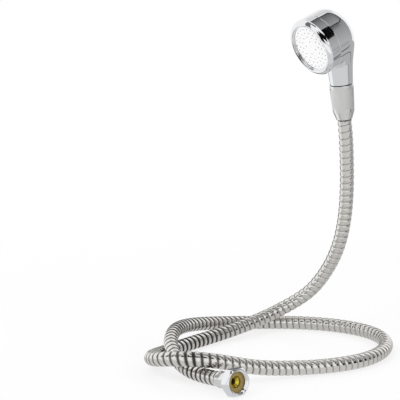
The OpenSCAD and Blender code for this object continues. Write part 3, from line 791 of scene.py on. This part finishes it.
@dataclass
class Handset(SubAssembly):
    """The rear housing with its neck, and what it holds."""

    drum_r: float = 28.5
    wall: float = 2.4
    dome_depth: float = 19.5
    dome_power: float = 2.4
    plate_z: float = 34.4
    plate_sink: float = 2.4
    bezel_h: float = 3.2
    ring_band: float = 11.0
    rear_band: float = 10.5
    band_draft: float = 0.3
    neck_r: float = 11.5
    neck_top_r: float = 13.7
    neck_power: float = 1.3
    thread_r: float = 10.3
    thread_lead: float = 0.8
    thread_l: float = 8.0
    o_ring_groove_r: float = 24.35
    limiter_bore_r: float = 8.6
    water_r: float = 6.6

    def __post_init__(self) -> None:
        """Works out the places along the drum's and the neck's axes."""
        self.lip_z = self.plate_z + self.plate_sink
        self.bezel_z = self.lip_z - self.bezel_h
        self.seam_z = self.bezel_z - self.ring_band
        self.dome_z = self.seam_z - self.rear_band
        self.dome_r = self.drum_r - self.band_draft
        self.shelf_z = self.seam_z - 0.5
        self.spigot_r = self.drum_r - 2.5
        self.spigot_end = self.plate_z - 2.1
        self.neck_z = SEAT_H + 0.6
        self.joint_z = SEAT_H - 0.5
        self.shoulder_z = AXIS_H - 26
        self.crown_z = AXIS_H - 8
        self.foot_z = SEAT_H - self.thread_l

    def dome(self, radius: float, depth: float, steps: int = 30) -> list[Point]:
        """Returns the rounded back's outline from the band's corner to the axis."""
        angles = [pi / 2 * i / steps for i in range(steps + 1)]
        power = 2 / self.dome_power
        return [
            (radius * max(cos(a), 0.0) ** power, self.dome_z - depth * sin(a) ** power)
            for a in angles[:-1]
        ] + [(0.0, self.dome_z - depth)]

    def neck(self, steps: int = 16) -> Shape:
        """Makes the neck's outside, with a round crown inside the drum."""
        widening, climb = self.neck_top_r - self.neck_r, self.shoulder_z - self.neck_z
        flare = [
            (self.neck_r + widening * (i / steps) ** self.neck_power, self.neck_z + climb * i / steps)
            for i in range(1, steps + 1)
        ]
        rise = self.crown_z - self.shoulder_z
        angles = [radians(9 * i) for i in range(1, 10)]
        crown = [(self.neck_top_r * cos(a), self.shoulder_z + rise * sin(a)) for a in angles]
        outline = [
            (0.0, self.neck_z), (self.neck_r - 0.45, self.neck_z), (self.neck_r - 0.12, self.neck_z + 0.13),
            (self.neck_r, self.neck_z + 0.45), *flare, *crown, (0.0, self.crown_z),
        ]
        return placed(turned(outline, 128), ON_NECK)

    def fairing(self) -> Shape:
        """Makes the drum's back with the fairing that runs down to the neck."""
        front = self.dome_z + 1
        shape = turned([(0.0, front), (self.dome_r, front), *self.dome(self.dome_r, self.dome_depth)], 160)
        drop, foot_r = self.drum_r, self.neck_top_r + 0.1
        foot = bmesh.ops.create_circle(shape, segments=128, radius=foot_r, cap_ends=False)["verts"]
        back = drop * tan(radians(FACE_DROOP))
        lower = Matrix.Translation((0, -drop - 0.2, back)) @ turn("X", 90)
        bmesh.ops.transform(shape, matrix=lower, verts=foot)
        hull = bmesh.ops.convex_hull(shape, input=shape.verts)
        inside = (*hull["geom_interior"], *hull["geom_unused"])
        spare = {g for g in inside if isinstance(g, bmesh.types.BMVert)}
        bmesh.ops.delete(shape, geom=[v for v in spare if v.is_valid], context="VERTS")
        loose = [f for f in shape.faces if f not in set(hull["geom"])]
        bmesh.ops.delete(shape, geom=loose, context="FACES_ONLY")
        tidy(shape)
        return placed(shape, ON_DRUM)

    def housing(self) -> Piece:
        """Makes the rear housing: shell, fairing, neck, both spigots and all its bores."""
        edge, chamfer, shelf_z = 0.18, 0.3, self.shelf_z
        band = turned([(0, self.dome_z), (self.dome_r, self.dome_z), (self.drum_r, self.seam_z - edge),
                       (self.drum_r - edge, self.seam_z), (0, self.seam_z)], 160)
        spigot = turned([(0, shelf_z), (self.spigot_r, shelf_z), (self.spigot_r, self.spigot_end - chamfer),
                         (self.spigot_r - chamfer, self.spigot_end), (0, self.spigot_end)], 128)
        thread = turned([(0, self.foot_z), (self.thread_r - self.thread_lead, self.foot_z),
                         (self.thread_r, self.foot_z + self.thread_lead), (self.thread_r, self.joint_z),
                         (self.thread_r, self.neck_z + 1), (0, self.neck_z + 1)])
        shell = combined(
            self.fairing(),
            [placed(band, ON_DRUM), self.neck(), placed(spigot, ON_DRUM), placed(thread, ON_NECK)],
            "UNION",
        )
        inner_r, bore_r = self.drum_r - self.wall, self.spigot_r - 3.1
        back = self.dome(inner_r, self.dome_depth - self.wall, 16)
        seat_r, seat_z, limiter_z = self.limiter_bore_r - 1.0, self.foot_z + 1.3, self.neck_z + 8.1
        rooms = (
            turned([(0, shelf_z - 2), (inner_r, shelf_z - 2), *back]),
            ringed(0, bore_r, shelf_z, 60),
            ringed(0, bore_r - 1.6, shelf_z - 3, shelf_z + 1),
            ringed(self.o_ring_groove_r, 30, self.seam_z + 1.5, self.seam_z + 3.7),
        )
        water = turned([(0, 3), (self.limiter_bore_r, 3), (self.limiter_bore_r, seat_z), (seat_r, seat_z),
                        (seat_r, limiter_z), (self.water_r, limiter_z), (self.water_r, AXIS_H),
                        (0, AXIS_H)])
        cuts = [placed(room, ON_DRUM) for room in rooms] + [placed(water, ON_NECK)]
        shell = combined(shell, cuts, "DIFFERENCE")
        tidy(shell)
        piece = self.seat(as_object("chromed_housing", shell), Finish.CHROME_SHELL, "rear_housing", 24)
        # Painted shade: the thread faces in the gap above the coupling nut wear the black seal finish,
        # standing for the shadow in that gap
        Finish.SEAL.dress_between(piece, self.joint_z, self.neck_z + 0.02)
        return piece

    def build(self) -> None:
        """Makes the housing and dresses what it holds."""
        self.housing()
        keep(
            water_spreader=Finish.WHITE,
            spreader_screw=Finish.SCREW,
            housing_o_ring=Finish.SEAL,
            flow_limiter=Finish.LIMITER,
        )


@dataclass
class FaceRing(SubAssembly):
    """The screw ring with its sloping bezel and rolled mouth.

    Attributes:
        roll_w: How much of the lip's width the mouth's roll takes.
        fold: Where the roll ends: thirds of the mouth's slope outside the plate, and the part of the
            plate's sink below the lip.
        swell: How far the bezel swells past a straight slope.
    """

    head: Handset = field(default_factory=lambda: Handset("handset"))
    mouth_r: float = 24.2
    view_r: float = 22.0
    lip_w: float = 0.8
    roll_w: float = 0.75
    fold: Point = (1.2, 0.6)
    swell: float = 0.5
    bezel_drop: float = 0.6
    seam_w: float = 0.25

    def bezel(self, steps: int = 14) -> list[Point]:
        """Returns the bezel's swelling slope, from its outer crease to the lip."""
        head = self.head
        foot = (head.drum_r, head.bezel_z - self.bezel_drop)
        across, rise = self.mouth_r + self.lip_w - foot[0], head.lip_z - foot[1]
        reach = hypot(across, rise)
        slope: list[Point] = []
        for i in range(steps + 1):
            part = i / steps
            out = self.swell * 4 * part * (1 - part) / reach
            slope.append((foot[0] + across * part + out * rise, foot[1] + rise * part - out * across))
        return slope

    def rolled_mouth(self, steps: int = 12) -> list[Point]:
        """Returns the mouth's outline from the lip to the plate: a broad roll and a rounded step."""
        head = self.head
        third = (self.mouth_r - self.view_r) / 3
        corners = (
            (self.mouth_r + self.roll_w, head.lip_z),
            (self.view_r + self.fold[0] * third, head.lip_z - self.fold[1] * head.plate_sink),
            (self.view_r, head.plate_z + PLAY),
        )
        angles = [pi / 2 * i / steps for i in range(1, steps + 1)]
        return [
            (r0 + (r1 - r0) * sin(a), z0 + (z1 - z0) * (1 - cos(a)))
            for (r0, z0), (r1, z1) in zip(corners, corners[1:])
            for a in angles
        ]

    def build(self) -> None:
        """Makes the ring."""
        head = self.head
        ledge_r, bore_r = head.spigot_r - 0.3, head.drum_r - 2.2
        seam, spigot = head.seam_z + self.seam_w, head.spigot_end + PLAY
        profile = [
            (head.drum_r, seam), *self.bezel(), *self.rolled_mouth(),
            (ledge_r, head.plate_z + PLAY), (ledge_r, spigot), (bore_r, spigot), (bore_r, seam),
        ]
        shape = turned(profile, 192)
        soften(shape, 0.05, least=40)
        self.seat(as_object("bezel_ring", shape, ON_DRUM), Finish.CHROME_SHELL, "face_ring", 20)


@dataclass
class CouplingNut(SubAssembly):
    """The tapered coupling nut with its polished bead and diamond knurl."""

    mouth_r: float = 12.0
    waist_r: float = 10.6
    rim_r: float = 7.95
    waist_z: float = -11.0
    rim_z: float = -18.4
    bead_r: float = 0.62
    bead_h: float = 1.35
    taper_z: float = SEAT_H - 2.0
    grip_top: float = SEAT_H - 3.3
    knurls: int = 62
    knurl_h: float = 1.9
    depth: float = 0.22
    samples: int = 8

    def __post_init__(self) -> None:
        """Works out where the taper starts and the grip ends."""
        self.collar_r = self.mouth_r - 0.08
        self.grip_foot = self.waist_z + 0.6

    def outline(self) -> list[Point]:
        """Returns the nut's closed outline, with close rows where it is knurled."""
        grip_h = self.grip_top - self.grip_foot
        rows = round(grip_h / self.knurl_h * self.samples)
        heights = [self.grip_top - grip_h * i / rows for i in range(rows + 1)]
        taper = [(self.taper_r(z), z) for z in heights]
        angles = [radians(a) for a in range(80, -81, -20)]
        bead_r, rim_r, rim_z = self.bead_r, self.rim_r, self.rim_z
        middle = self.mouth_r - 0.25
        bead = [(middle + bead_r * cos(a), SEAT_H - bead_r * (1 - sin(a))) for a in angles]
        return [
            (10.5, SEAT_H - 0.2), (10.7, SEAT_H), *bead, (self.mouth_r - 0.12, SEAT_H - 1.4),
            (self.collar_r, SEAT_H - 1.7), *taper, (self.waist_r - 0.25, self.waist_z - 0.2),
            (rim_r, rim_z + 0.4), (rim_r - 0.1, rim_z + 0.1), (rim_r - 0.25, rim_z), (7.35, rim_z),
            (7.35, -15.7), (8.0, -15.7), (8.0, 2.35), (9.9, 2.35), (9.9, 8.1), (10.5, 8.1),
        ]

    def taper_r(self, z: float) -> float:
        """Returns the grip's radius at a height."""
        part = (self.taper_z - z) / (self.taper_z - self.waist_z)
        return self.collar_r + (self.waist_r - self.collar_r) * part

    def knurl(self, shape: Shape) -> None:
        """Presses crossed grooves into the turned nut's grip, which fade at both its ends."""
        least_r, fade_h = 10.8, 0.5
        for vert in shape.verts:
            x, y, z = vert.co
            radius = hypot(x, y)
            if radius < least_r or not self.grip_foot - 0.01 <= z <= self.grip_top + 0.01:
                continue
            around, up = atan2(y, x) / tau * self.knurls, (z - self.grip_foot) / self.knurl_h
            ridge = min(abs(((around + way * up) % 1.0) * 2 - 1) for way in (1, -1))
            fade = min(1.0, (self.grip_top - z) / fade_h, (z - self.grip_foot) / fade_h)
            press = self.depth * (1 - min(ridge * 1.5, 1.0)) * max(fade, 0.0) / radius
            vert.co.x, vert.co.y = x * (1 - press), y * (1 - press)

    def build(self) -> None:
        """Makes the knurled nut with its polished bead, and dresses its washer."""
        shape = turned(self.outline(), self.knurls * self.samples)
        self.knurl(shape)
        piece = self.seat(as_object("knurled_nut", shape, ON_NECK), Finish.SATIN_COLLAR, "coupling_nut", 50)
        Finish.CHROME_SHELL.dress_between(piece, SEAT_H - self.bead_h, SEAT_H)
        keep(coupling_washer=Finish.SEAL)


@dataclass
class InletNut(SubAssembly):
    """The hex nut on the hose's free end, with its threaded bore."""

    bore_r: float = 10.5
    crest_r: float = 9.75
    pitch: float = 1.814
    chamfer_h: float = 1.8
    seat_z: float = -3.8
    mouth_z: float = -0.55

    def hexagon(self) -> Shape:
        """Makes the chamfered hexagon."""
        corner_r = NUT_FLATS_R / cos(radians(30))
        block = bmesh.new()
        bmesh.ops.create_cone(
            block, cap_ends=True, segments=6, radius1=corner_r, radius2=corner_r, depth=NUT_LENGTH,
            matrix=Matrix.Translation((0, 0, -NUT_LENGTH / 2)) @ turn("Z", 30),
        )
        outer_r, face_r = corner_r + 0.1, NUT_FLATS_R - 0.3
        chamfer = turned([(0, -NUT_LENGTH), (face_r, -NUT_LENGTH), (outer_r, self.chamfer_h - NUT_LENGTH),
                          (outer_r, -self.chamfer_h), (face_r, 0), (0, 0)], 128)
        block = combined(block, [chamfer], "INTERSECT")
        tidy(block)
        soften(block, 0.22, 3, 12)
        return block

    def build(self) -> Piece:
        """Makes the nut, cuts its bore and returns it."""
        thread: list[Point] = []
        z = self.seat_z
        while z < self.mouth_z - 0.35:
            thread += [(self.bore_r, z), (self.bore_r, z + 0.2)]
            thread += [(self.crest_r, z + 0.75), (self.crest_r, z + 1.0)]
            z += self.pitch
        back_r, room_r, room_z = 6.6, 10.9, -7.95
        bore = turned([(0, -20), (back_r, -20), (back_r, room_z), (room_r, room_z), (room_r, self.seat_z),
                       *thread, (self.bore_r, self.mouth_z), (11.1, 0.05), (11.1, 2), (0, 2)])
        block = combined(self.hexagon(), [bore], "DIFFERENCE")
        tidy(block)
        return self.seat(as_object("hex_inlet_nut", block, ON_INLET), Finish.CHROME_NUT, "inlet_nut", 24)


# ---------- the studio


@dataclass
class Studio:
    """The pale floor, the soft lamps, the cards that the metal mirrors and the camera, in metres."""

    lens: float = 117.8
    eye: Triple = (-0.069, -1.2855, 0.0973)
    pitch: float = 8.7
    yaw: float = 3.15
    head: Triple = (-0.010, -0.012, 0.066)
    card_floor: float = FLOOR_Z * MM - 0.0004
    card_gap: float = 0.0001

    def camera(self) -> None:
        """Sets the camera."""
        data = bpy.data.cameras.new("studio_camera")
        data.lens, data.sensor_width = self.lens, 36.0
        data.clip_start, data.clip_end = 0.05, 60.0
        made = linked("studio_camera", data)
        made.location = self.eye
        made.rotation_euler = (radians(90 - self.pitch), 0, radians(self.yaw))
        bpy.context.scene.camera = made

    def floor(self) -> None:
        """Lays a pale floor that keeps the sprayer's soft shadow and turns white further out."""
        shape = bmesh.new()
        bmesh.ops.create_grid(shape, x_segments=1, y_segments=1, size=9000)
        made = as_object("studio_floor", shape, Matrix.Translation((0, 0, FLOOR_Z - 0.6)))
        recipe = new_recipe("pale_floor")
        recipe.wear(
            Base_Color=recipe.mix(recipe.noise(30), rgba([0.82] * 3), rgba([0.84] * 3)),
            Roughness=0.9,
            Specular_IOR_Level=0.1,
        )
        rays = recipe.node("ShaderNodeLightPath", output="Is Camera Ray")
        seen = rays + rays.beside("Is Glossy Ray")
        away = recipe.node("ShaderNodeVectorMath", {"operation": "LENGTH"}, {0: recipe.place()}, "Value")
        glow = recipe.node("ShaderNodeEmission", values={"Color": WHITE, "Strength": 1.0})
        made.data.materials.append(recipe.cover(seen * recipe.spread(away, 0.42, 0.75, least=0.78), glow))

    def world(self) -> None:
        """Lights everything evenly, with a white surround where it shows or is mirrored."""
        recipe = Recipe(bpy.data.worlds.new("studio_world"))
        bpy.context.scene.world = recipe.owner
        recipe.wear(Color=WHITE, Strength=0.75)
        rays = recipe.node("ShaderNodeLightPath", output="Is Camera Ray")
        seen = rays + rays.beside("Is Glossy Ray") + rays.beside("Is Transmission Ray")
        seen.socket.node.use_clamp = True
        recipe.cover(seen, recipe.node("ShaderNodeBackground", values={"Color": WHITE, "Strength": 1.0}))

    def lamp(self, name: str, place: Triple, aim: Triple, size: float, power: float) -> None:
        """Hangs one soft lamp.

        Args:
            name: The lamp's name.
            place: Where it hangs, in metres.
            aim: The point it faces.
            size: Its side, in metres.
            power: Its power, in watts.
        """
        data = bpy.data.lights.new(name, "AREA")
        data.shape, data.size, data.energy = "SQUARE", size, power
        made = linked(name, data)
        made.location = place
        made.rotation_euler = (Vector(aim) - Vector(place)).to_track_quat("-Z", "Y").to_euler()
        made.visible_glossy = False

    def card(
        self,
        name: str,
        place: Triple | Vector,
        aim: Triple,
        size: Point,
        shade: float,
        soft: float = 0.0,
        far_shade: float | None = None,
    ) -> None:
        """Sets up a card that only polished metal mirrors.

        Args:
            name: The card's name.
            place: Its centre, in metres.
            aim: The point it faces.
            size: Its width and height, in metres.
            shade: Its grey, from 0 to 1.
            soft: The width over which its rim fades, in metres.
            far_shade: Its grey at the upper or the far rim, where that differs.
        """
        shape = bmesh.new()
        shape.loops.layers.uv.new("card")
        bmesh.ops.create_grid(shape, x_segments=1, y_segments=1, size=0.5, calc_uvs=True)
        bmesh.ops.scale(shape, vec=(size[0], size[1], 1), verts=shape.verts)
        facing = (Vector(aim) - Vector(place)).to_track_quat("Z", "Y").to_matrix().to_4x4()
        bmesh.ops.transform(shape, matrix=Matrix.Translation(place) @ facing, verts=shape.verts)
        made = as_object(name, shape, scale=1.0)
        recipe = new_recipe(name)
        sheet = recipe.node("ShaderNodeUVMap", {"uv_map": "card"})
        across = recipe.node("ShaderNodeSeparateXYZ", values={0: sheet})
        up = across.beside(1)
        grey = recipe.mix(up, rgba([shade] * 3), rgba([shade if far_shade is None else far_shade] * 3))
        glow = recipe.node("ShaderNodeEmission", values={"Color": grey, "Strength": 1.0})
        rims = []
        for way, width in zip((across, up), size):
            inside = 0.5 - recipe.node("ShaderNodeMath", {"operation": "ABSOLUTE"}, {0: way - 0.5})
            rims.append(recipe.spread(inside, 0.0, max(soft, 0.001) / width))
        clear = recipe.node("ShaderNodeBsdfTransparent")
        made.data.materials.append(recipe.cover(rims[0] * rims[1], glow, clear))
        made.visible_camera = made.visible_diffuse = made.visible_shadow = made.visible_transmission = False

    def stand(
        self, name: str, bearing: float, rise: float, away: float, size: Point, shade: float, **extra: float
    ) -> None:
        """Stands a card round the spray head.

        Args:
            name: The card's name.
            bearing: Its direction from the head: 0 to the front, 90 to the right, in degrees.
            rise: How far it is above level, in degrees.
            away: Its distance in metres.
            size: Its width and height, in metres.
            shade: Its grey, from 0 to 1.
            extra: Its soft rim and its second grey.
        """
        b, r = radians(bearing), radians(rise)
        out = Vector((sin(b) * cos(r), -cos(b) * cos(r), sin(r)))
        self.card(name, Vector(self.head) + out * away, self.head, size, shade, **extra)

    def lay(
        self, name: str, area: tuple[float, float, float, float], height: float, shade: float, **extra: float
    ) -> None:
        """Lays a level card over an area, from west to east and from front to back, at a height."""
        west, east, front, back = area
        place = ((west + east) / 2, (front + back) / 2, height)
        self.card(name, place, (place[0], place[1], height + 1), (east - west, back - front), shade, **extra)

    def floor_cards(self) -> None:
        """Lays the cards on the floor, the later ones over the earlier."""
        for name, area, layer, shade, soft in (
            ("floor_far_right", (0.62, 5.0, -2.0, 0.10), 0, 0.40, 0.10),
            ("floor_grey", (-1.6, 0.72, -1.4, 0.05), 1, 0.70, 0.06),
            ("floor_below", (-0.20, 0.35, -0.1, 0.45), 2, 0.60, 0.06),
            ("floor_right", (0.20, 5.0, -0.02, 5.0), 3, 0.47, 0.03),
            ("floor_line", (0.45, 0.49, 0.12, 1.2), 4, 0.10, 0.01),
            ("floor_edge", (0.45, 1.1, 0.10, 0.14), 4, 0.12, 0.01),
            ("floor_white", (-1.6, -0.20, -0.05, 1.4), 5, 1.0, 0.05),
            ("front_white", (-0.5, 0.2, -0.85, -0.31), 5, 1.0, 0.02),
        ):
            self.lay(name, area, self.card_floor + self.card_gap * layer, shade, soft=soft)

    def head_cards(self) -> None:
        """Sets up the cards that the spray head mirrors."""
        self.card("neck_front", (0, -0.055, -0.045), (0, 0, -0.045), (0.32, 0.138), 0.70, soft=0.006)
        self.stand("wall_rim", 92, 20, 2.25, (2.3, 3.2), 0.03, soft=0.02)
        self.stand("right_wall", 92, 20, 2.2, (2.2, 3.0), 0.52, soft=0.03, far_shade=0.26)
        self.stand("back_grey", -168, 44, 1.5, (1.1, 0.90), 0.92, soft=0.05, far_shade=0.66)
        self.stand("right_black", 60.5, 38, 1.6, (0.27, 1.42), 0.004, soft=0.02)
        self.lay("ceiling_rim", (-0.40, 0.85, -0.35, 0.58), 1.252, 0.01, soft=0.01)
        self.lay("ceiling_grey", (-0.35, 0.77, -0.30, 0.51), 1.25, 0.10, soft=0.01, far_shade=0.36)
        self.stand("black_low", -36, -8, 0.36, (0.19, 0.19), 0.004, soft=0.006)
        self.stand("black_high", -10, 9, 0.36, (0.31, 0.18), 0.004, soft=0.006)
        lip_side, lip_aim = (-0.068, -0.036, 0.031), (-0.041, -0.010, 0.039)
        self.card("lip_dark", lip_side, lip_aim, (0.027, 0.022), 0.004, soft=0.001)
        self.stand("front_high", -50, 46, 1.0, (0.38, 0.26), 0.06, soft=0.03)
        self.stand("left_dark", -79, 28, 1.2, (0.50, 1.2), 0.17, soft=0.08)

    def hose_cards(self, middle: float = -0.155) -> None:
        """Sets up the cards that the lying hose mirrors, about a height."""
        self.card("hose_right", (0.30, -0.175, middle), (0, -0.175, middle), (0.25, 0.18), 0.01, soft=0.01)
        self.card("hose_back", (-0.12, 0.32, middle), (-0.12, 0, middle), (0.46, 0.18), 0.16, soft=0.02)

    def build(self) -> None:
        """Sets the studio up."""
        self.floor()
        self.world()
        self.lamp("key_lamp", (-1.1, -1.2, 1.6), (0, 0, 0), 1.2, 18)
        self.lamp("fill_lamp", (1.5, -1.0, 0.9), (0, 0, -0.1), 1.4, 8)
        self.lamp("back_lamp", (0.2, 1.6, 1.5), (0, 0, 0), 1.4, 10)
        self.floor_cards()
        self.head_cards()
        self.hose_cards()
        bpy.context.scene.view_settings.view_transform = "Standard"


# ---------- building it all


def main() -> None:
    """Builds the camera, the hose and then each sub-assembly in order."""
    logging.basicConfig(level=logging.INFO, format="%(message)s")
    studio = Studio()
    studio.camera()
    hose = Hose("hose")
    jacket, liner = hose.build()
    sleeve = hose.sleeve()
    inlet_nut = InletNut("inlet").build()
    hose.route.path()
    keep(
        upper_insert=Finish.BRASS,
        lower_insert=Finish.BORED_BRASS,
        upper_ferrule=Finish.FERRULE,
        swivel_bush=Finish.WHITE,
        inlet_washer=Finish.FIBRE,
    )
    head = Handset("handset")
    head.build()
    FaceRing("ring", head=head).build()
    keep(spray_plate=Finish.SATIN_PLATE, plate_gasket=Finish.SEAL)
    CouplingNut("coupling").build()
    keep(inlet_strainer=Finish.WHITE)
    studio.build()


if __name__ == "__main__":
    main()
